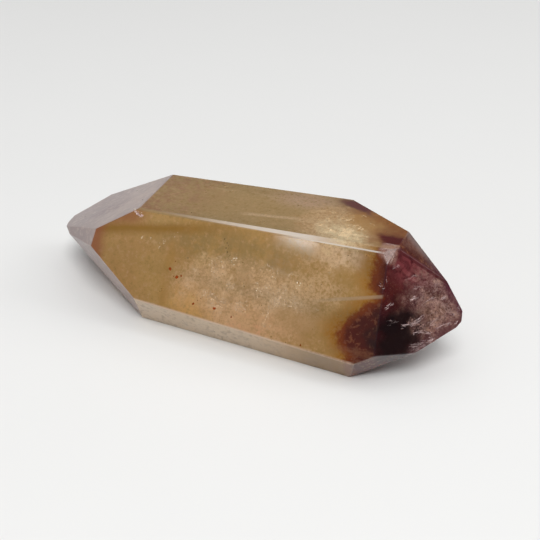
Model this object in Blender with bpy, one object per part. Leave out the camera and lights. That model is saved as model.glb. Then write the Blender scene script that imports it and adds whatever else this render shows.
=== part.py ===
"""Double-ended polished quartz crystal, one solid.

The long axis lies along +X and the crystal rests on a flat prism face at z = 0.
Every facet is one flat cut through a block. A facet is given by three numbers:
  turn   degrees around the long axis: 0 faces the front (-Y), 90 faces up, -90 faces down
  lean   degrees between the facet's outward direction and +X: 90 is a prism side,
         less than 90 faces the dark end, more than 90 faces the pale end
  reach  millimetres from the heart of the crystal to the facet
All lengths in the scene are metres, +Z is up.
"""
import math

import bmesh
import bpy
from mathutils import Vector

MM = 0.001

BLOCK_SIZE = 240.0 * MM        # edge of the block that the facets are cut from
WELD_DISTANCE = 0.25 * MM      # corners closer than this are one corner
EDGE_ROUNDING = 0.16 * MM      # width of the polish on every edge
EDGE_SEGMENTS = 2
SHARP_ANGLE = math.radians(8.0)

# The six sides of the prism. They spread slightly towards the dark end.
PRISM_FACETS = {
    "side_top": (87.0, 92.5, 14.15),
    "side_front": (27.0, 90.5, 14.00),
    "side_front_low": (-28.0, 92.0, 20.75),
    "side_rest": (-90.0, 90.0, 14.50),
    "side_back_low": (-154.0, 92.0, 17.80),
    "side_back": (152.5, 93.0, 16.60),
}

# The termination at the pale end (-X).
PALE_END_FACETS = {
    "pale_top": (85.5, 120.0, 23.65),
    "pale_front": (33.5, 132.0, 33.50),
    "pale_front_low": (-27.0, 119.5, 27.70),
    "pale_low": (-61.5, 118.5, 27.50),
    "pale_back_low": (-112.0, 122.0, 35.95),
    "pale_back": (150.5, 135.5, 43.60),
    "pale_tip": (24.5, 165.5, 51.55),
}

# The termination at the dark end (+X).
DARK_END_FACETS = {
    "dark_front": (30.0, 52.0, 35.95),
    "dark_front_low": (-37.0, 59.0, 37.20),
    "dark_top": (86.5, 51.0, 38.15),
    "dark_back": (159.0, 60.5, 26.15),
    "dark_low": (-89.5, 60.0, 30.20),
    "dark_back_low": (-112.0, 54.5, 33.05),
    "dark_tip": (-164.5, 35.5, 44.40),
}

# The flat polished along the upper front edge, and the small chip at its dark end.
EDGE_FACETS = {
    "ridge_flat": (57.0, 91.5, 15.95),
    "corner_chip": (38.0, 73.5, 25.95),
}

BODY_COLOR = (0.56, 0.42, 0.27, 1.0)
QUARTZ_IOR = 1.544
POLISH_ROUGHNESS = 0.04


def clear_scene():
    for item in list(bpy.data.objects):
        bpy.data.objects.remove(item, do_unlink=True)


def facet_direction(turn, lean):
    """Outward direction of a facet from its turn and lean in degrees."""
    around = math.radians(turn)
    tilt = math.radians(lean)
    across = math.sin(tilt)
    return Vector((math.cos(tilt), -across * math.cos(around), across * math.sin(around)))


def cut_facet(mesh, turn, lean, reach):
    """Cut everything beyond one facet away and close the cut with one flat face."""
    outward = facet_direction(turn, lean)
    geometry = mesh.verts[:] + mesh.edges[:] + mesh.faces[:]
    cut = bmesh.ops.bisect_plane(
        mesh,
        geom=geometry,
        dist=1e-7,
        plane_co=outward * (reach * MM),
        plane_no=outward,
        clear_outer=True,
    )
    rim = [part for part in cut["geom_cut"] if isinstance(part, bmesh.types.BMEdge)]
    if rim:
        bmesh.ops.contextual_create(mesh, geom=rim)


def cut_crystal():
    """The crystal as flat facets around its heart, which is at the origin here."""
    mesh = bmesh.new()
    bmesh.ops.create_cube(mesh, size=BLOCK_SIZE)
    for group in (PRISM_FACETS, PALE_END_FACETS, DARK_END_FACETS, EDGE_FACETS):
        for turn, lean, reach in group.values():
            cut_facet(mesh, turn, lean, reach)
    bmesh.ops.remove_doubles(mesh, verts=mesh.verts[:], dist=WELD_DISTANCE)
    bmesh.ops.dissolve_degenerate(mesh, edges=mesh.edges[:], dist=1e-6)
    bmesh.ops.recalc_face_normals(mesh, faces=mesh.faces[:])
    return mesh


def rest_on_origin(mesh):
    """Move the crystal so that the middle of its box sits over the origin at z = 0."""
    corners = [vertex.co for vertex in mesh.verts]
    low = Vector([min(corner[axis] for corner in corners) for axis in range(3)])
    high = Vector([max(corner[axis] for corner in corners) for axis in range(3)])
    middle = (low + high) / 2.0
    bmesh.ops.translate(mesh, verts=mesh.verts[:], vec=(-middle.x, -middle.y, -low.z))


def quartz_material():
    material = bpy.data.materials.new("amber_quartz")
    material.use_nodes = True
    shader = material.node_tree.nodes["Principled BSDF"]
    shader.inputs["Base Color"].default_value = BODY_COLOR
    shader.inputs["Roughness"].default_value = POLISH_ROUGHNESS
    shader.inputs["IOR"].default_value = QUARTZ_IOR
    shader.inputs["Transmission Weight"].default_value = 1.0
    material.diffuse_color = BODY_COLOR
    return material


def polish_edges(crystal):
    polish = crystal.modifiers.new("edge_polish", "BEVEL")
    polish.width = EDGE_ROUNDING
    polish.segments = EDGE_SEGMENTS
    polish.limit_method = "ANGLE"
    polish.angle_limit = SHARP_ANGLE
    polish.use_clamp_overlap = True


def build_crystal():
    mesh = cut_crystal()
    rest_on_origin(mesh)
    data = bpy.data.meshes.new("crystal")
    mesh.to_mesh(data)
    mesh.free()
    data.materials.append(quartz_material())
    crystal = bpy.data.objects.new("crystal", data)
    bpy.context.scene.collection.objects.link(crystal)
    polish_edges(crystal)
    return crystal


clear_scene()
build_crystal()
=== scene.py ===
import math
import random

import bmesh
import bpy
from mathutils import Matrix, Vector, noise


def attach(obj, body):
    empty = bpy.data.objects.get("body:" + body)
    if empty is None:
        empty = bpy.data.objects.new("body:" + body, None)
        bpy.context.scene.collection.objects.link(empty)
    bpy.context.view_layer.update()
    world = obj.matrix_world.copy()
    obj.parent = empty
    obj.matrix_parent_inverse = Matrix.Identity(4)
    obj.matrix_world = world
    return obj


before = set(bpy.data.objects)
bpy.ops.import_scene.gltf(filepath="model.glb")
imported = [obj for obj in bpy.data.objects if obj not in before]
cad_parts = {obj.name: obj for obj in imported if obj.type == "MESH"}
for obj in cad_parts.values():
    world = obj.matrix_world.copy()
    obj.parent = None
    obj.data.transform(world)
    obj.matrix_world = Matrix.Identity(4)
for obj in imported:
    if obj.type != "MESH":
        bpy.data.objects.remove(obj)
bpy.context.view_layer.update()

bl_info = {
    "name": "Zoned Quartz Crystal",
    "version": (1, 0, 0),
    "blender": (4, 5, 0),
    "location": "3D View > Sidebar > Crystal",
    "description": "Dresses a double-ended quartz crystal with its colour zones and inclusions",
    "category": "Object",
}

BODY = "root"
MM = 0.001
QUARTZ_IOR = 1.544

# How far a mark's middle stands over its facet, and how far its rim and its underside lie under it.
MARK_PROUD = 0.014 * MM
MARK_RIM = 0.004 * MM
MARK_SUNK = 0.030 * MM
OVERHANG = 0.02 * MM      # how far past a facet's edge the middle of a strewn mark may lie
PLATE_CORNERS = 6
KNOT_STEPS = 5            # points of a streak from one knot to the next
TRIES_PER_MARK = 60
FACET_AREA = 1e-6         # in square metres; a smaller polygon belongs to a rounded edge

# Depths under a facet, in millimetres, between which a colour of its own sets in.
SKIN = (0.25, 0.08)

# Lamps: name, place and size in metres, and power in watts. The last makes the glare under the ridge.
LAMPS = (
    ("key_light", (0.30, -0.62, 1.00), (0.6, 0.6), 8.6),
    ("side_light", (1.20, 0.50, 0.90), (0.8, 0.8), 4.5),
    ("window_light", (-0.3309, -0.8621, 0.4166), (0.052, 0.020), 0.038),
)
FLOOR_REACH = 3.0
FRAME_WIDTH = 36.0
CLIP_START, CLIP_END = 0.01, 20.0


def facet(turn, lean):
    """The outward direction of the facet nearest to a turn and a lean, and its reach in millimetres."""
    turn, lean = math.radians(turn), math.radians(lean)
    outward = Vector((math.cos(lean), -math.sin(lean) * math.cos(turn), math.sin(lean) * math.sin(turn)))
    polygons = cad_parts["crystal"].data.polygons
    nearest = max(polygons, key=lambda polygon: polygon.normal.dot(outward))
    return nearest.normal.copy(), nearest.normal.dot(nearest.center) / MM


# Facets that a colour or a mark keeps to, by their turn and lean in degrees.
FACETS = {
    "side_top": facet(87, 92.5),
    "side_front": facet(27, 90.5),
    "side_front_low": facet(-28, 92),
    "ridge_flat": facet(57, 91.5),
    "dark_front": facet(30, 52),
    "dark_low": facet(-41, 52),
    "dark_top": facet(86, 51),
    "dark_back": facet(159, 60),
    "dark_under": facet(-89, 60),
    "pale_top": facet(85, 120),
    "pale_front": facet(33, 132),
    "pale_front_low": facet(-27, 119),
    "pale_low": facet(-61, 118),
}

# All places below are in millimetres from the middle of the resting side, and marks lie on the facets.
# Patches that marks are strewn over: centre, radii, count and the least noise that carries one.
MIST_PATCHES = (
    ((6.0, -16.0, 12.5), (17.0, 6.0, 8.0), 700, 0.08),
    ((14.0, -14.0, 17.0), (9.0, 6.0, 5.5), 350, 0.06),
    ((-3.5, -13.5, 18.0), (6.0, 4.0, 4.0), 120, 0.08),
)
# The same for the white cloud, with the noise's scale along each axis before the least.
CLOUD_PATCHES = (
    ((25.0, 0.3, 30.0), (8.5, 7.2, 3.0), 300, (0.30, 0.6, 0.6), 0.06),
    ((27.2, -4.6, 30.0), (6.0, 3.4, 3.0), 460, (0.45, 0.8, 0.8), -0.02),
)
# Middles of the small groups of bright points.
BRIGHT_POINTS = (
    (0.2, -12.6, 19.4), (2.5, -12.1, 20.5), (3.4, -11.7, 21.3), (2.9, -11.8, 21.0), (12.0, -14.1, 16.8),
    (19.2, -13.4, 18.2), (10.4, -14.4, 16.0), (13.7, -15.5, 13.9), (-19.5, -11.5, 21.3), (-17.0, -12.2, 20.0),
    (-21.9, -11.8, 20.6), (26.5, -11.1, 22.8), (25.7, -15.1, 15.0), (28.9, -13.6, 17.9), (13.2, -12.8, 19.3),
    (9.8, -13.8, 17.2), (20.1, -13.1, 18.8), (-25.5, -9.0, 26.15), (-25.0, -9.1, 26.0), (-24.5, -9.2, 25.9),
    (-24.0, -9.3, 25.7), (-23.4, -9.3, 25.6), (-13.8, -10.6, 23.4), (-16.2, -11.8, 20.9),
)
# Specks: centre and size.
RUST_SPECKS = (
    ((-13.0, -14.1, 15.6), 0.42), ((-10.9, -14.8, 14.2), 0.48), ((-9.8, -14.6, 14.7), 0.30),
    ((-5.3, -17.3, 9.5), 0.34), ((0.3, -17.2, 9.7), 0.42), ((5.0, -17.7, 8.8), 0.22), ((23.2, -18.9, 6.7), 0.22),
    ((-4.3, -17.0, 10.6), 0.14), ((-3.6, -16.8, 11.2), 0.12), ((-12.0, -13.0, 17.4), 0.14),
)
DARK_SPECKS = (
    ((-0.5, -9.7, 24.5), 0.24), ((0.3, -10.1, 23.8), 0.20), ((0.3, -10.6, 22.7), 0.26), ((0.8, -11.0, 21.9), 0.24),
    ((-1.3, -10.0, 23.9), 0.15), ((0.7, -10.2, 23.3), 0.14), ((6.7, -14.2, 15.8), 0.26), ((-8.9, -12.5, 18.8), 0.30),
    ((1.6, -11.3, 21.2), 0.16), ((6.3, -14.0, 16.3), 0.14),
)
# Soft patches of colour on and near the front facet: centre, radii, strength and colour.
PATCHES = (
    ((0.6, -16.5, 12.8), (3.4, 3.0, 0.7), 0.60, (0.350, 0.205, 0.075)),
    ((5.9, -13.7, 18.3), (2.1, 2.0, 2.6), 0.50, (0.370, 0.225, 0.070)),
    ((14.4, -11.9, 22.1), (3.4, 3.0, 2.4), 0.60, (0.390, 0.260, 0.120)),
    ((-5.8, -18.7, 8.6), (4.6, 3.0, 3.0), 0.60, (0.850, 0.470, 0.120)),
    ((9.0, -19.0, 7.3), (4.4, 3.0, 1.2), 0.60, (0.950, 0.480, 0.270)),
    ((-4.9, -13.3, 19.0), (2.8, 2.0, 1.5), 0.50, (0.920, 0.640, 0.340)),
    ((16.9, -14.6, 17.0), (6.4, 3.0, 4.4), 0.30, (1.000, 0.720, 0.430)),
    ((3.5, -17.6, 10.5), (4.0, 3.0, 2.2), 0.45, (0.950, 0.620, 0.360)),
    ((30.0, -12.0, 21.5), (3.0, 3.0, 3.0), 0.35, (0.360, 0.220, 0.060)),
    ((18.6, -9.4, 26.6), (4.0, 3.0, 2.2), 0.60, (0.330, 0.250, 0.120)),
    ((25.0, -13.6, 19.0), (5.5, 3.0, 4.5), 0.55, (0.900, 0.620, 0.360)),
    ((30.0, -16.5, 13.4), (3.6, 3.0, 4.4), 0.40, (0.760, 0.440, 0.150)),
    ((23.0, -17.0, 11.6), (7.0, 3.0, 4.0), 0.50, (0.420, 0.235, 0.065)),
)
# Streaks along the bruised corner: facet and the knots that each runs through.
BRUISE_EDGES = (
    ("side_front", ((40.4, -7.4, 29.0), (40.3, -8.0, 28.0), (40.1, -8.8, 27.0))),
    ("side_top", ((37.4, -5.6, 30.0), (39.0, -5.5, 30.0), (40.2, -6.2, 30.0))),
    ("ridge_flat", ((36.8, -7.6, 29.4), (38.2, -7.4, 29.6), (40.0, -7.1, 29.8))),
)
# Wisps: facet, knots, width and number of strands.
WISPS = (
    ("dark_front", ((44.1, -12.2, 13.7), (46.0, -10.7, 13.4), (47.1, -9.3, 14.2), (48.4, -7.5, 15.2)), 0.13, 4),
    ("dark_front", ((46.6, -11.3, 11.5), (47.8, -10.0, 11.9), (49.1, -8.9, 11.8), (50.7, -7.8, 11.1)), 0.13, 4),
    ("dark_front", ((44.7, -11.3, 14.4), (46.5, -10.1, 13.7), (47.6, -8.6, 14.5)), 0.10, 3),
    ("dark_front", ((49.7, -9.6, 9.5), (51.1, -8.1, 10.0)), 0.15, 3),
    ("dark_front", ((46.5, -12.7, 9.1), (47.9, -11.3, 9.4), (49.5, -9.7, 9.7)), 0.09, 3),
    ("dark_front", ((47.4, -12.4, 8.3), (48.6, -11.1, 8.7), (50.5, -10.0, 9.1)), 0.08, 3),
    ("dark_front", ((44.7, -8.8, 18.8), (45.4, -8.0, 19.1), (46.3, -7.1, 19.1)), 0.15, 3),
    ("dark_front", ((45.1, -7.0, 21.1), (45.8, -6.3, 21.2), (46.6, -5.6, 21.3)), 0.10, 2),
    ("dark_front", ((40.3, -13.2, 18.0), (41.3, -11.9, 18.6), (41.6, -11.6, 18.8)), 0.13, 3),
    ("dark_front", ((40.1, -8.7, 26.0), (41.0, -7.8, 26.2), (41.6, -7.4, 26.1)), 0.13, 2),
    ("side_front", ((38.4, -11.3, 22.5), (39.2, -11.5, 22.0), (39.9, -11.3, 21.9)), 0.13, 1),
    ("side_front", ((38.4, -11.0, 23.1), (38.9, -11.2, 22.7), (39.4, -11.4, 22.3)), 0.10, 1),
    ("dark_front", ((39.3, -10.2, 24.7), (39.5, -10.5, 23.9), (39.7, -10.8, 23.1)), 0.08, 1),
    ("dark_front", ((52.8, -3.9, 14.6), (53.6, -3.3, 14.4), (54.0, -2.7, 14.7)), 0.11, 2),
    ("dark_front", ((54.4, -3.6, 12.3), (55.0, -3.0, 12.5)), 0.12, 2),
    ("dark_front", ((50.6, -3.9, 18.0), (51.4, -3.0, 18.2)), 0.12, 2),
    ("dark_front", ((40.8, -14.6, 14.8), (42.0, -13.4, 14.9), (43.5, -12.0, 15.1)), 0.05, 2),
    ("dark_front", ((47.0, -7.5, 17.4), (48.3, -5.9, 18.2), (49.7, -4.3, 18.7)), 0.06, 3),
    ("dark_front", ((49.4, -7.9, 13.0), (50.6, -6.1, 14.1), (52.4, -4.2, 14.6)), 0.07, 4),
    ("dark_front", ((50.4, -7.7, 11.8), (52.1, -5.8, 12.5), (53.9, -4.0, 12.7)), 0.07, 4),
    ("dark_front", ((43.1, -7.7, 23.1), (44.2, -6.3, 23.7), (45.8, -5.1, 23.4)), 0.05, 3),
    ("dark_front", ((48.4, -4.0, 21.2), (49.9, -2.6, 21.3)), 0.06, 2),
    ("dark_front", ((54.1, -1.8, 16.1), (54.7, -2.1, 14.7)), 0.08, 2),
    ("side_front", ((-25.6, -9.0, 26.1), (-24.4, -9.2, 25.8), (-22.6, -9.5, 25.4)), 0.34, 3),
)


# ---------------------------------------------------------------- shader maths

class Wire:
    """One value in a shader, so that maths on it reads as an expression."""

    def __init__(self, graph, socket):
        self.graph = graph
        self.socket = socket

    def maths(self, operation, *values):
        sockets = dict(enumerate(values))
        return self.graph.wire("ShaderNodeMath", {"operation": operation}, sockets)

    def __add__(self, other):
        return self.maths("ADD", self, other)

    def __radd__(self, other):
        return self.maths("ADD", other, self)

    def __sub__(self, other):
        return self.maths("SUBTRACT", self, other)

    def __rsub__(self, other):
        return self.maths("SUBTRACT", other, self)

    def __mul__(self, other):
        return self.maths("MULTIPLY", self, other)

    def __rmul__(self, other):
        return self.maths("MULTIPLY", other, self)

    def larger(self, other):
        return self.maths("MAXIMUM", self, other)

    def smaller(self, other):
        return self.maths("MINIMUM", self, other)

    def ramp(self, start, end):
        """0 where this is below start, 1 where it is above end, smooth between."""
        settings = {"interpolation_type": "SMOOTHSTEP", "clamp": True}
        sockets = {"Value": self, "From Min": start, "From Max": end}
        if start > end:
            sockets.update({"From Min": end, "From Max": start})
            return 1.0 - self.graph.wire("ShaderNodeMapRange", settings, sockets)
        return self.graph.wire("ShaderNodeMapRange", settings, sockets)


class Graph:
    """A node tree that is built one node at a time."""

    def __init__(self, tree):
        self.tree = tree
        self.tree.nodes.clear()

    def add(self, kind, settings=None, sockets=None):
        """Add a node: its settings first, then a value or a link for each named socket."""
        node = self.tree.nodes.new(kind)
        for name, value in (settings or {}).items():
            setattr(node, name, value)
        for key, value in (sockets or {}).items():
            self.feed(node.inputs[key], value)
        return node

    def feed(self, socket, value):
        """Link a wire or a socket, or set a plain value."""
        if isinstance(value, Wire):
            self.tree.links.new(value.socket, socket)
        elif isinstance(value, bpy.types.NodeSocket):
            self.tree.links.new(value, socket)
        else:
            socket.default_value = value

    def wire(self, kind, settings=None, sockets=None, output=0):
        """Add a node and give one of its outputs as a wire."""
        return Wire(self, self.add(kind, settings, sockets).outputs[output])

    def vector(self, operation, *values, output=0):
        """Vector maths on positions."""
        sockets = dict(enumerate(values))
        return self.wire("ShaderNodeVectorMath", {"operation": operation}, sockets, output)

    def layers(self, base, *steps):
        """Lay (mask, colour) pairs over a base colour, one after another."""
        result = base
        for mask, color in steps:
            result = self.blend(mask, result, rgba(color))
        return result

    def place(self):
        """Position on the object in millimetres, as a vector and its three parts."""
        coords = self.add("ShaderNodeTexCoord").outputs["Object"]
        vector = self.wire("ShaderNodeVectorMath", {"operation": "SCALE"}, {0: coords, "Scale": 1.0 / MM})
        parts = self.add("ShaderNodeSeparateXYZ", {}, {0: vector})
        return vector, [Wire(self, parts.outputs[axis]) for axis in range(3)]

    def grain(self, vector, scale, detail=3.0, roughness=0.55, distortion=0.0):
        """Cloudy noise around 0.5; scale is in features per millimetre."""
        sockets = {"Vector": vector, "Scale": scale, "Detail": detail}
        sockets.update({"Roughness": roughness, "Distortion": distortion})
        return self.wire("ShaderNodeTexNoise", {"noise_dimensions": "3D"}, sockets)

    def stretch(self, vector, amounts):
        """Scale a position along each axis, so that a noise on it is drawn out."""
        return self.vector("MULTIPLY", vector, amounts)

    def depth_under(self, place, facet):
        """How far a position lies below one facet, in millimetres."""
        outward, reach = FACETS[facet]
        along = self.vector("DOT_PRODUCT", place, outward, output="Value")
        return reach - along

    def spot(self, vector, centre, radii, soft=0.35):
        """1 inside an egg shape round a centre, fading to 0 over its soft rim."""
        scaled = self.vector("DIVIDE", self.vector("SUBTRACT", vector, centre), radii)
        length = self.vector("LENGTH", scaled, output="Value")
        return length.ramp(1.0 + soft, 1.0 - soft)

    def shifted(self, vector, sway, amount):
        """Bend a position by a noise, so that what is drawn with it wanders."""
        push = self.vector("MULTIPLY_ADD", sway, (amount,) * 3, (-amount / 2.0,) * 3)
        return self.vector("ADD", vector, push)

    def blend(self, factor, first, second):
        """Mix two colours."""
        sockets = {0: factor, 6: first, 7: second}
        return self.wire("ShaderNodeMix", {"data_type": "RGBA"}, sockets, output=2)

    def finish(self, surface, volume=None, kind="ShaderNodeOutputMaterial"):
        """Link the shaders to the tree's output."""
        output = self.add(kind)
        self.tree.links.new(surface, output.inputs["Surface"])
        if volume is not None:
            self.tree.links.new(volume, output.inputs["Volume"])


def new_material(name):
    """A material with an empty node tree."""
    material = bpy.data.materials.new(name)
    material.use_nodes = True
    return material, Graph(material.node_tree)


def rgba(color):
    """A colour with full opacity."""
    return (color[0], color[1], color[2], 1.0)


# ---------------------------------------------------------------- settings

class CrystalSettings(bpy.types.PropertyGroup):
    """Colours and clarity of the crystal."""

    body_color: bpy.props.FloatVectorProperty(
        name="Body colour",
        description="Colour that light keeps as it crosses the smoky amber body",
        subtype="COLOR", size=3, min=0.0, max=1.0, default=(0.64, 0.42, 0.05),
    )
    body_depth: bpy.props.FloatProperty(
        name="Body depth",
        description="How strongly the body colours the light, per metre of crystal",
        default=14.0, min=0.0, max=2000.0,
    )
    clearness: bpy.props.FloatProperty(
        name="Clearness",
        description="Share of the light that passes the milky quartz",
        default=0.55, min=0.5, max=1.0, subtype="FACTOR",
    )
    polish: bpy.props.FloatProperty(
        name="Polish roughness",
        description="Roughness of the polished facets",
        default=0.30, min=0.0, max=1.0, subtype="FACTOR",
    )


class StageSettings(bpy.types.PropertyGroup):
    """Camera and floor."""

    camera_place: bpy.props.FloatVectorProperty(
        name="Camera place", description="Where the camera stands",
        subtype="TRANSLATION", size=3, default=(0.09937, -0.21233, 0.14409),
    )
    camera_heading: bpy.props.FloatProperty(
        name="Camera heading", description="Turn of the camera from facing +Y, towards -X",
        subtype="ANGLE", unit="ROTATION", default=math.radians(23.57),
    )
    camera_dip: bpy.props.FloatProperty(
        name="Camera dip", description="How far the camera looks down",
        subtype="ANGLE", unit="ROTATION", default=math.radians(29.53),
    )
    camera_roll: bpy.props.FloatProperty(
        name="Camera roll", description="Turn of the camera about its own view",
        subtype="ANGLE", unit="ROTATION", default=math.radians(0.9),
    )
    lens: bpy.props.FloatProperty(
        name="Lens", description="Focal length on a 36 mm wide frame",
        subtype="DISTANCE_CAMERA", default=72.0, min=10.0,
    )
    floor_color: bpy.props.FloatVectorProperty(
        name="Floor colour", description="Colour of the seamless floor",
        subtype="COLOR", size=3, min=0.0, max=1.0, default=(0.78, 0.78, 0.774),
    )


# ---------------------------------------------------------------- shapes

def facet_planes():
    """Outward direction and reach of each large facet of the crystal, in metres."""
    planes = []
    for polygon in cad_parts["crystal"].data.polygons:
        outward = polygon.normal.copy()
        reach = outward.dot(polygon.center)
        known = any(outward.dot(other) > 0.9999 for other, _ in planes)
        if polygon.area > FACET_AREA and not known:
            planes.append((outward, reach))
    return planes


PLANES = facet_planes()


def depth_inside(point):
    """Distance from a point to the nearest facet; negative outside the crystal."""
    return min(reach - outward.dot(point) for outward, reach in PLANES)


def link_mesh(name, mesh):
    """Turn a mesh under construction into a piece of the scene."""
    data = bpy.data.meshes.new(name)
    mesh.to_mesh(data)
    mesh.free()
    piece = bpy.data.objects.new(name, data)
    bpy.context.scene.collection.objects.link(piece)
    return piece


def settle(piece, material):
    """Give a piece its finish and fix it to the crystal."""
    piece.data.materials.clear()
    piece.data.materials.append(material)
    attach(piece, BODY)


def facet_turn(name, angle=0.0):
    """The turn that lays a flat mark on a facet, at an angle from the crystal's length."""
    outward = FACETS[name][0]
    along = (Vector((1.0, 0.0, 0.0)) - outward * outward.x).normalized()
    return Matrix((along, outward.cross(along), outward)).transposed() @ Matrix.Rotation(angle, 3, "Z")


def add_plate(mesh, dice, centre, size, aspect, turn):
    """A flat plate of uneven outline, with a middle that stands a hair proud."""
    ring = []
    for step in range(PLATE_CORNERS):
        angle = step * math.tau / PLATE_CORNERS
        radius = size * dice.uniform(0.65, 1.15)
        corner = Vector((math.cos(angle) * radius * aspect, math.sin(angle) * radius, -MARK_RIM))
        ring.append(mesh.verts.new(centre + turn @ corner))
    top = mesh.verts.new(centre + turn @ Vector((0.0, 0.0, MARK_PROUD)))
    bottom = mesh.verts.new(centre + turn @ Vector((0.0, 0.0, -MARK_SUNK)))
    for here, following in zip(ring, ring[1:] + ring[:1]):
        mesh.faces.new((here, following, top))
        mesh.faces.new((following, here, bottom))


def add_streak(mesh, points, width, outward):
    """A thin flat streak along a run of points, drawn out to a point at both ends."""
    rings = []
    for before, here, after in zip(points, points[1:], points[2:]):
        side = outward.cross(after - before).normalized() * width
        corners = (side, outward * MARK_PROUD, -side, outward * -MARK_SUNK)
        rings.append([mesh.verts.new(here + corner) for corner in corners])
    first, last = mesh.verts.new(points[0]), mesh.verts.new(points[-1])
    for step in range(4):
        following = (step + 1) % 4
        mesh.faces.new((first, rings[0][following], rings[0][step]))
        mesh.faces.new((last, rings[-1][step], rings[-1][following]))
        for near, far in zip(rings, rings[1:]):
            mesh.faces.new((near[step], near[following], far[following], far[step]))


def streak_path(dice, name, knots, wobble):
    """A run of points on a facet through the knots, with a little wobble, in metres."""
    path = []
    for start, end in zip(knots, knots[1:]):
        for step in range(KNOT_STEPS):
            point = Vector(start).lerp(Vector(end), step / KNOT_STEPS)
            path.append(on_facet(name, point + jitter(dice, wobble)))
    path.append(on_facet(name, knots[-1]))
    return path


def on_facet(name, point):
    """The place of a facet that is nearest to a point; takes millimetres and gives metres."""
    outward, reach = FACETS[name]
    point = Vector(point)
    return (point - outward * (outward.dot(point) - reach)) * MM


def jitter(dice, spread):
    """A random push with the same spread along each axis, in millimetres."""
    return Vector([dice.gauss(0.0, spread) for _ in range(3)])


def strew(dice, name, centre, radii, count, clump, least):
    """Positions strewn over a facet inside an egg shape, thick where a noise is high."""
    places = []
    for _ in range(count * TRIES_PER_MARK):
        if len(places) == count:
            break
        offset = Vector([dice.uniform(-1.0, 1.0) for _ in range(3)])
        if offset.length > 1.0:
            continue
        place = on_facet(name, Vector(centre) + Vector([away * radius for away, radius in zip(offset, radii)]))
        thick = noise.noise(Vector([value / MM * size for value, size in zip(place, clump)]))
        thin_rim = offset.length ** 3 * 0.4
        if thick + dice.uniform(-0.2, 0.2) > least + thin_rim and depth_inside(place) > -OVERHANG:
            places.append(place)
    return places


# ---------------------------------------------------------------- materials

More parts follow.
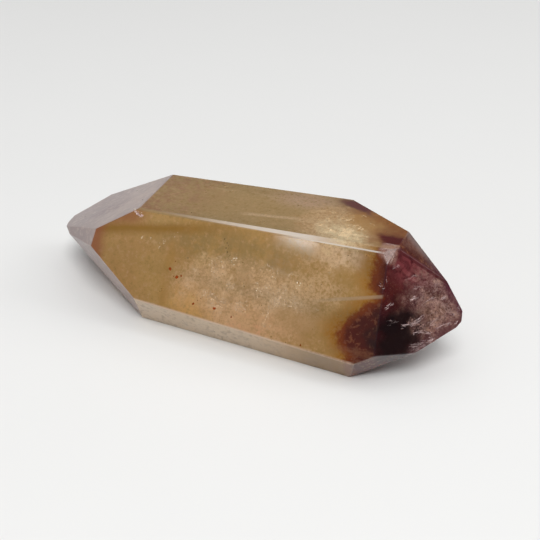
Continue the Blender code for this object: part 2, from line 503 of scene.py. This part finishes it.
def quartz_finish(settings):
    """Milky quartz whose colour changes along the crystal, from a lilac tip to a purple-red one.

    Names with on_ are 1 on a facet, under_ is a depth below one, and the rest are masks from 0 to 1.
    """
    material, graph = new_material("smoky_amber_quartz")
    place, (x, y, z) = graph.place()
    cloud = graph.grain(place, 0.10, 4.0, 0.6)
    patch = graph.grain(place, 0.30, 5.0, 0.65)
    grit = graph.grain(place, 1.7, 4.0, 0.75)
    dust = graph.grain(place, 4.5, 3.0, 0.8)
    mottle = graph.grain(place, 0.85, 4.0, 0.7)
    swirl = graph.grain(place, 0.42, 5.0, 0.6, 1.6)
    streak = graph.grain(graph.stretch(place, (0.14, 0.75, 0.75)), 1.0, 5.0, 0.65)
    combed = graph.grain(graph.stretch(place, (0.9, 0.5, 0.12)), 1.0, 4.0, 0.6)
    wander = (patch - 0.5) * 5.0 + (cloud - 0.5) * 3.0
    sway = graph.wire("ShaderNodeTexNoise", {}, {"Vector": place, "Scale": 0.35}, output=1)
    bent = graph.shifted(place, sway, 7.0)
    under_top = graph.depth_under(place, "side_top")
    under_front = graph.depth_under(place, "side_front")
    under_low = graph.depth_under(place, "side_front_low")
    under_dark_front = graph.depth_under(place, "dark_front")
    under_dark_top = graph.depth_under(place, "dark_top")
    under_dark_back = graph.depth_under(place, "dark_back")
    on_top = under_top.ramp(0.20, 0.05)
    on_front = under_front.ramp(*SKIN)
    on_low = under_low.ramp(*SKIN)
    on_dark = under_dark_front.ramp(*SKIN)
    on_dark_low = graph.depth_under(place, "dark_low").ramp(*SKIN)
    on_ridge = graph.depth_under(place, "ridge_flat").ramp(0.09, 0.03)

    # Smoky amber body with olive, golden and misty patches.
    rise = z - 20.9 - (x + 34.0) * 0.176 + wander * 0.15
    band = rise.ramp(-2.0, 0.2) * rise.ramp(2.0, 0.2) * x.ramp(4.0, -16.0)
    lit_corner = rise.ramp(0.0, 2.6) * x.ramp(-19.0, -26.0) * on_front
    column = x + 13.4 + wander * 0.14
    column = column.ramp(-1.9, -0.4) * column.ramp(1.5, 0.5) * z.ramp(24.0, 18.0)
    mist_place = graph.spot(place, (7.0, -15.5, 13.2), (18.0, 9.0, 8.6), 0.28)
    mist = mist_place * (patch * 0.55 + grit * 0.50 + dust * 0.3 + (mottle - 0.5) * 0.2).ramp(0.55, 0.85)
    sparkle = mist_place * (grit * 0.7 + dust * 0.4).ramp(0.59, 0.70)
    high_mist = graph.spot(place, (27.2, -9.2, 27.0), (7.2, 4.0, 3.0), 0.6)
    high_mist = high_mist * (mottle * 0.6 + combed * 0.3 + dust * 0.2).ramp(0.37, 0.66)
    rose = graph.spot(place, (10.0, -18.5, 8.5), (13.0, 6.0, 3.6), 0.5) * (patch + 0.25).ramp(0.5, 0.9)
    glow = graph.spot(place, (-6.5, -17.5, 10.5), (5.0, 4.0, 4.5), 0.6) * (combed + 0.2).ramp(0.45, 0.8)
    dim = graph.spot(place, (1.0, -11.2, 23.0), (18.0, 5.0, 4.4), 0.6) * (1.0 - patch).ramp(0.30, 0.54)
    sombre = x.ramp(8.0, 22.0) * on_front
    russet = x.ramp(-4.0, -20.0) * (swirl * 0.6 + patch * 0.4 + mottle * 0.2).ramp(0.52, 0.68) * on_top
    blush = graph.spot(place, (13.0, 7.8, 30.0), (8.0, 3.6, 3.0), 0.6) * (grit + 0.2).ramp(0.5, 0.8)
    curdled = (grit * 0.6 + mottle * 0.5).ramp(0.55, 0.66) * on_front * x.ramp(12.0, 20.0)
    back_streaks = y.ramp(2.0, 9.0) * (streak * 0.8 + grit * 0.2).ramp(0.50, 0.68)
    dark_grains = (grit * 0.7 + dust * 0.5).ramp(0.60, 0.45)
    olive = cloud.ramp(0.40, 0.60)
    amber = graph.blend(olive, rgba((0.530, 0.298, 0.096)), rgba((0.560, 0.335, 0.104)))
    body = graph.layers(
        amber,
        (sombre * 0.7, (0.500, 0.295, 0.100)),
        (on_top * 0.9, (0.520, 0.360, 0.165)),
        (russet * 0.85, (0.440, 0.215, 0.120)),
        (blush * 0.8, (0.690, 0.470, 0.350)),
        (dim * 0.85, (0.340, 0.232, 0.088)),
        (back_streaks * 0.45, (0.760, 0.560, 0.330)),
        (mottle.ramp(0.52, 0.68) * 0.45, (0.700, 0.460, 0.240)),
        (mottle.ramp(0.48, 0.34) * 0.50, (0.370, 0.215, 0.055)),
        (combed.ramp(0.42, 0.70) * on_front * 0.25, (0.660, 0.390, 0.140)),
        (curdled * 0.35, (0.780, 0.540, 0.280)),
        (glow * 0.7, (0.800, 0.430, 0.115)),
        (column * 0.5, (0.500, 0.260, 0.055)),
        (band * 0.90, (0.330, 0.160, 0.016)),
        (lit_corner * 0.75, (0.330, 0.105, 0.036)),
        (mist_place * 0.35, (0.740, 0.470, 0.260)),
        (mist * 0.85, (0.980, 0.660, 0.390)),
        (sparkle * 0.45, (1.000, 0.740, 0.480)),
        (high_mist * 0.85, (0.960, 0.700, 0.470)),
        (rose * 0.5, (0.840, 0.460, 0.220)),
        (dark_grains * 0.20, (0.250, 0.140, 0.040)),
    )
    broken = (mottle * 0.5 + grit * 0.5 + 0.15).ramp(0.50, 0.76)
    for centre, radii, strength, color in PATCHES:
        body = graph.layers(body, (graph.spot(bent, centre, radii, 0.55) * broken * strength, color))

    # White cloud, streak and rust-brown end under the top facet.
    veil_place = graph.spot(bent, (24.5, -0.9, 30.0), (9.8, 8.4, 6.0), 0.3)
    veil = veil_place * (streak * 0.45 + grit * 0.5 + mottle * 0.3 + dust * 0.15).ramp(0.58, 0.86)
    lit = graph.spot(bent, (27.2, -4.5, 30.0), (6.6, 4.7, 3.0), 0.5)
    lit = lit * (grit * 0.6 + dust * 0.35 + streak * 0.2).ramp(0.40, 0.66)
    tail = y + 3.3 - x * 0.13 + wander * 0.10
    tail = tail.ramp(-0.8, -0.2) * tail.ramp(1.1, 0.2) * z.ramp(26.0, 28.0)
    tail = tail * x.ramp(-1.0, 3.0) * x.ramp(20.0, 15.0) * (grit + 0.3).ramp(0.5, 0.9)
    tan_glow = graph.spot(bent, (31.0, -3.6, 30.0), (7.0, 3.2, 3.0), 0.6) * on_top
    rim = x * 0.52 + y * 0.85 - 22.3 + wander * 0.45 + (streak - 0.5) * 4.0
    rim_streaks = (streak * 0.7 + grit * 0.4).ramp(0.56, 0.68)
    near_top = on_top * x.ramp(23.0, 27.0)
    wedge_place = graph.spot(bent, (26.4, 9.0, 30.0), (6.4, 3.6, 4.0), 0.5)
    wedge = x * 0.385 + y * 0.923 - 17.2 + (streak - 0.5) * 2.4 + wander * 0.15
    wedge = wedge_place * wedge.ramp(-0.9, 0.3) * x.ramp(31.6, 28.6)
    ragged = (grit - 0.5) * 2.4 + (swirl - 0.5) * 3.0
    block = (x - 33.6 + y * 0.583 + ragged).ramp(-1.8, 1.0) * (y + 2.0 + ragged * 0.6).ramp(1.3, -0.9)
    block = block * (y - x * 0.28 + 16.8 - ragged * 0.3).ramp(-0.4, 0.5) * on_top
    halo = graph.spot(bent, (38.2, -3.0, 30.0), (5.2, 4.2, 3.0), 0.6) * on_top
    body = graph.layers(
        body,
        (tail * 0.6, (0.900, 0.660, 0.430)),
        (tan_glow * 0.65, (0.800, 0.500, 0.220)),
        (veil_place * 0.80, (0.550, 0.305, 0.130)),
        (veil * 0.70, (1.000, 0.760, 0.450)),
        (lit * 0.98, (1.000, 0.820, 0.510)),
        (rim.ramp(-11.5, -5.5) * near_top * 0.8, (0.560, 0.300, 0.090)),
        ((rim + (mottle - 0.5) * 7.0).ramp(-5.5, -0.5) * near_top * 0.85, (0.370, 0.125, 0.022)),
        (rim.ramp(-8.0, -4.0) * near_top * rim_streaks * 0.55, (0.560, 0.290, 0.100)),
        (wedge_place * 0.55, (0.330, 0.165, 0.085)),
        (wedge * 0.9, (0.150, 0.035, 0.045)),
        (halo * 0.65, (0.250, 0.050, 0.012)),
        (block * 0.95, (0.105, 0.000, 0.005)),
    )

    # Golden fringe, maroon and near-black heart of the dark tip, with its foggy nose.
    notch = z.ramp(18.4, 19.6) * z.ramp(21.8, 20.6)
    edge = x - 38.3 + z.ramp(19.5, 12.5) * 5.4 - z.ramp(11.0, 7.0) * 2.7 - notch * 1.6
    edge = edge + y.ramp(-4.0, 2.0) * 3.5 + wander * 0.5 + (grit - 0.5) * 2.2 + (swirl - 0.5) * 3.0
    below_top = 1.0 - on_top
    fringe = edge.ramp(-7.0, -2.0) * below_top * (mottle * 0.7 + grit * 0.3).ramp(0.26, 0.56)
    dark = edge.ramp(-0.8, 1.2)
    ember = dark * below_top * (mottle * 0.7 + swirl * 0.4).ramp(0.56, 0.67)
    pink_grains = (dust * 0.6 + grit * 0.5).ramp(0.57, 0.74) * edge.ramp(0.0, 2.0) * on_dark
    berry = graph.spot(place, (44.4, -5.0, 26.2), (5.4, 6.0, 4.8), 0.5)
    heart = graph.spot(bent, (43.6, -12.0, 11.6), (5.4, 9.0, 7.0), 0.45)
    tongue = graph.spot(bent, (35.4, -18.0, 8.0), (4.6, 5.0, 1.5), 0.5)
    fog_place = graph.spot(bent, (50.3, -4.8, 16.8), (7.2, 9.0, 8.8), 0.45)
    fog = fog_place * (patch * 0.55 + grit * 0.45 + dust * 0.3).ramp(0.50, 0.84)
    fog_glow = graph.spot(bent, (50.2, -6.6, 15.4), (3.4, 3.4, 3.8), 0.6) * grit.ramp(0.30, 0.64)
    veins = fog_place * (swirl + (dust - 0.5) * 0.3).ramp(0.56, 0.66)
    low_fog = graph.spot(place, (48.4, -11.5, 8.6), (2.6, 3.0, 1.6), 0.5) * (grit + 0.1).ramp(0.45, 0.75)
    plum = (under_dark_back + (swirl - 0.5) * 2.0).ramp(2.1, 0.4) * z.ramp(12.5, 15.0)
    plum = plum * under_dark_front.ramp(2.5, 0.4)
    hem = (graph.depth_under(place, "dark_under") + (swirl - 0.5) * 3.0).ramp(3.0, 1.0) * on_dark
    body = graph.layers(
        body,
        (fringe * 0.95, (0.430, 0.180, 0.012)),
        (edge.ramp(-2.8, -0.6) * below_top * 0.92, (0.210, 0.026, 0.001)),
        (dark * below_top * 0.97, (0.085, 0.006, 0.002)),
        (ember * 0.75, (0.330, 0.100, 0.035)),
        (tongue * (streak * 0.7 + grit * 0.4).ramp(0.45, 0.68) * 0.60, (0.340, 0.135, 0.060)),
        (dark * on_dark * 0.9, (0.066, 0.006, 0.012)),
        (berry * (swirl + 0.2).ramp(0.48, 0.85) * on_dark * 0.90, (0.370, 0.078, 0.090)),
        (pink_grains * 0.35, (0.500, 0.240, 0.220)),
        (fog * 0.80, (0.740, 0.400, 0.360)),
        (fog * (patch * 0.7 + mottle * 0.4).ramp(0.52, 0.66) * 0.5, (0.780, 0.520, 0.370)),
        (fog_glow * 0.36, (0.820, 0.500, 0.320)),
        (veins * 0.45, (0.820, 0.560, 0.500)),
        (plum * (1.0 - dust * 0.4) * 0.95, (0.125, 0.022, 0.050)),
        (hem * 0.75, (0.150, 0.045, 0.055)),
        (low_fog * 0.5, (0.420, 0.300, 0.300)),
        (heart * 0.94, (0.007, 0.002, 0.003)),
    )

    # Skin of the pale tip, the low facet painted pale as a painted reflection of the floor, painted highlights along
    # the ridge and the front facet's lower edge, and the bruise on one corner.
    pale = (x + wander * 0.5 + (swirl - 0.5) * 7.0).ramp(-18.0, -28.0)
    pale = pale * under_front.smaller(under_top).ramp(0.15, 0.9)
    for name in ("pale_top", "pale_front", "pale_front_low", "pale_low"):
        pale = pale.larger(graph.depth_under(place, name).ramp(0.12, 0.04))
    smudge = graph.spot(place, (-39.0, 1.0, 19.6), (7.0, 3.5, 5.0), 0.6) * swirl.ramp(0.34, 0.68)
    red_rim = (x + z * 0.05 + wander * 0.3).ramp(-29.8, -33.4) * z.ramp(10.0, 15.0) * on_front
    grey_low = x.ramp(29.0, 4.0) * 0.82 + 0.18
    # Painted highlight: the ridge flat and its edge with the front facet are painted near white where they mirror
    # the bright ceiling.
    ridge_highlight = (under_top - (x + 25.0) * 0.008).ramp(0.24, 0.12) * x.ramp(-22.0, 14.0) * x.ramp(30.0, 18.0)
    ridge_highlight = ridge_highlight.larger(under_front.ramp(0.20, 0.09) * x.ramp(10.0, 20.0))
    # Painted highlight along the edge between the front facet and the low facet, broken into short glints.
    edge_glints = under_front.ramp(0.45, 0.15) * under_low.ramp(0.45, 0.15) * x.ramp(-26.0, -16.0)
    on_tip = under_dark_top.ramp(*SKIN) * under_dark_front.ramp(0.6, 3.2)
    tip_rim = on_tip * under_dark_back.ramp(2.4, 0.4)
    line = z - 16.0 - (x - 21.7) * 0.256
    line = line.ramp(-0.55, -0.1) * line.ramp(0.5, 0.2) * on_front
    line = line * x.ramp(22.0, 31.0) * x.ramp(40.2, 39.4)
    tip_edge = under_dark_top.ramp(0.55, 0.40) * under_dark_front.ramp(0.55, 0.40)
    bruise = (z - 28.7 + (x - 37.2) * 0.52 + wander * 0.2).ramp(-0.7, 0.5)
    bruise = bruise * x.ramp(36.3, 37.5) * x.ramp(41.2, 40.4) * y.ramp(-5.1, -5.7)
    # Painted reflection: the low facet is painted pale where it shows the bright floor, fading out towards the dark
    # end.
    low_facet_reflection = on_low * grey_low
    # Painted highlight: a thin light line along the same edge.
    edge_highlight_line = under_front.ramp(0.30, 0.10) * under_low.ramp(0.30, 0.10) * x.ramp(28.0, 16.0)
    edge_highlight_line = edge_highlight_line * (grit + 0.2).ramp(0.35, 0.6)
    body = graph.layers(
        body,
        (red_rim * 0.85, (0.360, 0.110, 0.045)),
        (line * 0.55, (0.620, 0.470, 0.320)),
        (pale * 0.95, (0.540, 0.420, 0.390)),
        (pale * (x + wander).ramp(-31.0, -44.0) * 0.85, (0.370, 0.262, 0.255)),
        (pale * cloud.ramp(0.52, 0.40) * 0.45, (0.360, 0.265, 0.275)),
        (pale * (mottle * 0.5 + streak * 0.6).ramp(0.52, 0.70) * 0.55, (0.700, 0.560, 0.490)),
        (smudge * pale * 0.7, (0.260, 0.150, 0.165)),
        # painted reflection of the floor on the low facet, with darker mottling
        (low_facet_reflection, (0.880, 0.700, 0.500)),
        (low_facet_reflection * (swirl * 0.6 + mottle * 0.4).ramp(0.48, 0.62) * 0.60, (0.400, 0.280, 0.160)),
        (on_low * x.ramp(18.0, 28.0) * x.ramp(36.0, 32.0) * 0.55, (0.240, 0.140, 0.060)),
        # painted highlights along the front facet's lower edge
        (edge_highlight_line * 0.5, (0.950, 0.750, 0.580)),
        (edge_glints * (grit + 0.2).ramp(0.5, 0.8) * 0.55, (0.950, 0.700, 0.520)),
        (on_tip * (mottle + 0.2).ramp(0.45, 0.85) * 0.80, (0.330, 0.165, 0.130)),
        (tip_rim * 0.55, (0.400, 0.330, 0.330)),
        (on_dark_low * 0.7, (0.330, 0.275, 0.285)),
        (on_ridge * x.ramp(8.0, -12.0) * 0.55, (0.330, 0.220, 0.090)),
        # painted highlight on the ridge flat
        (on_ridge * ridge_highlight * 0.95, (1.000, 0.920, 0.830)),
        (tip_edge * 0.7, (0.110, 0.018, 0.024)),
        (bruise * (grit * 0.7 + dust * 0.5).ramp(0.38, 0.72) * 0.9, (0.600, 0.350, 0.290)),
    )
    haze = graph.grain(place, 0.5, 3.0)
    dull = (pale * 0.55).larger(bruise * 0.9).larger(tip_edge * 0.9).larger(block * 0.6)
    dull = dull.larger(on_ridge * x.ramp(14.0, 24.0) * 0.8).larger(on_ridge * x.ramp(6.0, -10.0) * 0.6)
    shader = graph.add("ShaderNodeBsdfPrincipled", {}, {
        "Base Color": body,
        "Roughness": settings.polish + (haze - 0.5) * 0.12,
        "IOR": QUARTZ_IOR,
        "Specular IOR Level": 0.0,
        "Transmission Weight": settings.clearness,
        "Coat Weight": 1.0 - dull,
        "Coat Roughness": 0.06,
        "Coat IOR": 1.4,
    })
    depth = graph.add("ShaderNodeVolumeAbsorption", {}, {
        "Color": rgba(settings.body_color), "Density": settings.body_depth,
    })
    graph.finish(shader.outputs[0], depth.outputs[0])
    return material


def fleck_finish(name, color, shine=0.5):
    """A dull finish for small marks, a little darker here and there."""
    material, graph = new_material(name)
    place, _ = graph.place()
    speckle = graph.grain(place, 1.2, 2.0)
    darker = tuple(channel * 0.75 for channel in color)
    tint = graph.blend(speckle.ramp(0.35, 0.65), rgba(darker), rgba(color))
    shader = graph.add("ShaderNodeBsdfPrincipled", {}, {
        "Base Color": tint, "Roughness": 0.5, "Specular IOR Level": shine,
    })
    graph.finish(shader.outputs[0])
    return material


# ---------------------------------------------------------------- operators

class CRYSTAL_OT_body(bpy.types.Operator):
    """Give the crystal its milky smoky amber finish, lilac at one tip and purple-red at the other"""

    bl_idname = "crystal.body"
    bl_label = "Crystal body"

    def execute(self, context):
        settings = context.scene.crystal
        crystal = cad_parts["crystal"]
        crystal.data.materials.clear()
        crystal.data.materials.append(quartz_finish(settings))
        return {"FINISHED"}


class CRYSTAL_OT_mist(bpy.types.Operator):
    """Strew the fine pale mist and its bright points over the front facet"""

    bl_idname = "crystal.mist"
    bl_label = "Mist"

    def execute(self, context):
        dice = random.Random(7)
        mesh = bmesh.new()
        for centre, radii, count, least in MIST_PATCHES:
            for place in strew(dice, "side_front", centre, radii, count, (0.3, 0.3, 0.3), least):
                turn = facet_turn("side_front", dice.uniform(0.0, math.pi))
                add_plate(mesh, dice, place, dice.uniform(0.04, 0.13) * MM, dice.uniform(1.0, 1.8), turn)
        settle(link_mesh("mist_flecks", mesh), fleck_finish("pale_mist", (0.66, 0.47, 0.31)))

        mesh = bmesh.new()
        for point in BRIGHT_POINTS:
            for _ in range(3):
                place = on_facet("side_front", Vector(point) + jitter(dice, 0.4))
                turn = facet_turn("side_front", dice.uniform(0.0, math.pi))
                add_plate(mesh, dice, place, dice.uniform(0.05, 0.15) * MM, dice.uniform(1.0, 1.8), turn)
        settle(link_mesh("bright_points", mesh), fleck_finish("bright_fleck", (0.90, 0.78, 0.60)))
        return {"FINISHED"}


class CRYSTAL_OT_cloud(bpy.types.Operator):
    """Lay the thin plates of the white cloud on the top facet and the scales of the bruised corner"""

    bl_idname = "crystal.cloud"
    bl_label = "Cloud and bruise"

    def execute(self, context):
        dice = random.Random(11)
        mesh = bmesh.new()
        for centre, radii, count, clump, least in CLOUD_PATCHES:
            for place in strew(dice, "side_top", centre, radii, count, clump, least):
                turn = facet_turn("side_top", dice.gauss(0.1, 0.3))
                add_plate(mesh, dice, place, dice.uniform(0.05, 0.14) * MM, dice.uniform(1.6, 5.0), turn)
        settle(link_mesh("top_cloud", mesh), fleck_finish("white_cloud", (0.70, 0.52, 0.31), 0.1))

        mesh = bmesh.new()
        for name, knots in BRUISE_EDGES:
            outward = FACETS[name][0]
            add_streak(mesh, streak_path(dice, name, knots, 0.06), 0.07 * MM, outward)
        for place in strew(dice, "side_front", (38.7, -8.6, 28.2), (1.6, 1.0, 1.0), 14, (0.8, 0.8, 0.8), -0.1):
            turn = facet_turn("side_front", dice.uniform(0.0, math.pi))
            add_plate(mesh, dice, place, dice.uniform(0.05, 0.14) * MM, dice.uniform(1.2, 3.0), turn)
        settle(link_mesh("corner_bruise", mesh), fleck_finish("chalky_bruise", (0.50, 0.36, 0.31)))
        return {"FINISHED"}


class CRYSTAL_OT_specks(bpy.types.Operator):
    """Set the rust-red and dark mineral specks"""

    bl_idname = "crystal.specks"
    bl_label = "Specks"

    def execute(self, context):
        dice = random.Random(5)
        for name, marks, color in (
            ("rust_specks", RUST_SPECKS, (0.280, 0.048, 0.005)),
            ("dark_specks", DARK_SPECKS, (0.270, 0.175, 0.075)),
        ):
            mesh = bmesh.new()
            for point, size in marks:
                turn = facet_turn("side_front", dice.uniform(0.0, math.pi))
                add_plate(mesh, dice, on_facet("side_front", point), size * 1.2 * MM, dice.uniform(1.0, 1.2), turn)
                for _ in range(2):
                    place = on_facet("side_front", Vector(point) + jitter(dice, size * 0.7))
                    add_plate(mesh, dice, place, size * dice.uniform(0.2, 0.45) * MM, 1.2, turn)
            settle(link_mesh(name, mesh), fleck_finish(name + "_finish", color, 0.1))
        return {"FINISHED"}


class CRYSTAL_OT_wisps(bpy.types.Operator):
    """Draw the white wisps and flaws of the dark tip and of the edges"""

    bl_idname = "crystal.wisps"
    bl_label = "Wisps and flaws"

    def execute(self, context):
        dice = random.Random(3)
        mesh = bmesh.new()
        for name, knots, width, strands in WISPS:
            outward = FACETS[name][0]
            for _ in range(strands * 5):
                shift = jitter(dice, 0.25 * (strands > 1))
                path = streak_path(dice, name, [Vector(knot) + shift for knot in knots], 0.10)
                start = dice.randrange(0, len(path) - 3)
                length = dice.randint(3, 5)
                add_streak(mesh, path[start:start + length], width * dice.uniform(0.13, 0.34) * MM, outward)
        settle(link_mesh("white_wisps", mesh), fleck_finish("white_wisp", (0.55, 0.40, 0.39)))

        mesh = bmesh.new()
        centre, radii = (49.0, -7.0, 14.0), (6.5, 8.0, 8.0)
        for place in strew(dice, "dark_front", centre, radii, 420, (0.35, 0.35, 0.35), 0.10):
            turn = facet_turn("dark_front", dice.gauss(0.5, 0.5))
            add_plate(mesh, dice, place, dice.uniform(0.04, 0.10) * MM, dice.uniform(1.0, 4.0), turn)
        settle(link_mesh("nose_fog", mesh), fleck_finish("rosy_fog", (0.34, 0.19, 0.16)))
        return {"FINISHED"}


class CRYSTAL_OT_stage(bpy.types.Operator):
    """Set the pale floor, the soft light and the camera"""

    bl_idname = "crystal.stage"
    bl_label = "Stage"

    def execute(self, context):
        settings = context.scene.crystal_stage
        self.floor(settings)
        self.sky(context.scene)
        for name, place, size, power in LAMPS:
            self.lamp(name, place, size, power)
        self.camera(context.scene, settings)
        view = context.scene.view_settings
        view.view_transform = "Standard"
        view.look = "None"
        return {"FINISHED"}

    def floor(self, settings):
        """A seamless sheet of pale paper."""
        mesh = bmesh.new()
        bmesh.ops.create_grid(mesh, x_segments=1, y_segments=1, size=FLOOR_REACH)
        floor = link_mesh("floor", mesh)
        material, graph = new_material("seamless_floor")
        place, _ = graph.place()
        paper = graph.grain(place, 0.02, 2.0)
        lower = tuple(channel * 0.985 for channel in settings.floor_color)
        tint = graph.blend(paper, rgba(lower), rgba(settings.floor_color))
        shader = graph.add("ShaderNodeBsdfPrincipled", {}, {"Base Color": tint, "Roughness": 0.9})
        graph.finish(shader.outputs[0])
        floor.data.materials.append(material)

    def sky(self, scene):
        """A soft bright room with one dark card that the facets mirror."""
        world = bpy.data.worlds.new("soft_room")
        scene.world = world
        world.use_nodes = True
        graph = Graph(world.node_tree)
        heading = graph.add("ShaderNodeTexCoord").outputs["Generated"]
        parts = graph.add("ShaderNodeSeparateXYZ", {}, {0: heading})
        side, back, up = [Wire(graph, parts.outputs[axis]) for axis in range(3)]
        card = (side * 0.89 - back * 0.41 + up * 0.21).ramp(0.60, 0.90)
        room = up.ramp(0.22, 0.02) * 0.55 + up.ramp(0.52, 0.90) * 1.05 + 0.15
        room = room * (1.0 - card * 0.97)
        color = graph.blend(room, rgba((0.0, 0.0, 0.0)), rgba((1.0, 1.0, 0.995)))
        glow = graph.add("ShaderNodeBackground", {}, {"Color": color, "Strength": 1.0})
        graph.finish(glow.outputs[0], kind="ShaderNodeOutputWorld")

    def lamp(self, name, place, size, power):
        """An oval lamp that faces the crystal."""
        light = bpy.data.lights.new(name, "AREA")
        light.energy = power
        light.shape = "ELLIPSE"
        light.size, light.size_y = size
        lamp = bpy.data.objects.new(name, light)
        lamp.location = place
        lamp.rotation_euler = (-Vector(place)).to_track_quat("-Z", "Y").to_euler()
        bpy.context.scene.collection.objects.link(lamp)

    def camera(self, scene, settings):
        """The camera, from its place, heading, dip and roll."""
        turn, dip, roll = settings.camera_heading, settings.camera_dip, settings.camera_roll
        ahead = Vector((-math.sin(turn) * math.cos(dip), math.cos(turn) * math.cos(dip), -math.sin(dip)))
        level = Vector((math.cos(turn), math.sin(turn), 0.0))
        upward = level.cross(ahead)
        right = math.cos(roll) * level + math.sin(roll) * upward
        top = math.cos(roll) * upward - math.sin(roll) * level
        facing = Matrix((right, top, -ahead)).transposed()
        data = bpy.data.cameras.new("camera")
        data.lens = settings.lens
        data.sensor_width = FRAME_WIDTH
        data.clip_start, data.clip_end = CLIP_START, CLIP_END
        camera = bpy.data.objects.new("camera", data)
        camera.matrix_world = Matrix.Translation(settings.camera_place) @ facing.to_4x4()
        scene.collection.objects.link(camera)
        scene.camera = camera


class CRYSTAL_PT_panel(bpy.types.Panel):
    """Lists the crystal's pieces"""

    bl_label = "Crystal"
    bl_idname = "CRYSTAL_PT_panel"
    bl_space_type = "VIEW_3D"
    bl_region_type = "UI"
    bl_category = "Crystal"

    def draw(self, context):
        for group in (context.scene.crystal, context.scene.crystal_stage):
            for name in group.bl_rna.properties.keys():
                if name not in ("rna_type", "name"):
                    self.layout.prop(group, name)
        for operator in OPERATORS:
            self.layout.operator(operator.bl_idname)


SETTINGS = (CrystalSettings, StageSettings)
OPERATORS = (
    CRYSTAL_OT_body,
    CRYSTAL_OT_mist,
    CRYSTAL_OT_cloud,
    CRYSTAL_OT_specks,
    CRYSTAL_OT_wisps,
    CRYSTAL_OT_stage,
)


def register():
    for cls in SETTINGS + OPERATORS + (CRYSTAL_PT_panel,):
        bpy.utils.register_class(cls)
    bpy.types.Scene.crystal = bpy.props.PointerProperty(type=CrystalSettings)
    bpy.types.Scene.crystal_stage = bpy.props.PointerProperty(type=StageSettings)


def unregister():
    del bpy.types.Scene.crystal_stage
    del bpy.types.Scene.crystal
    for cls in reversed(SETTINGS + OPERATORS + (CRYSTAL_PT_panel,)):
        bpy.utils.unregister_class(cls)


def main():
    register()
    for operator in OPERATORS:
        group, name = operator.bl_idname.split(".")
        getattr(getattr(bpy.ops, group), name)()


if __name__ == "__main__":
    main()
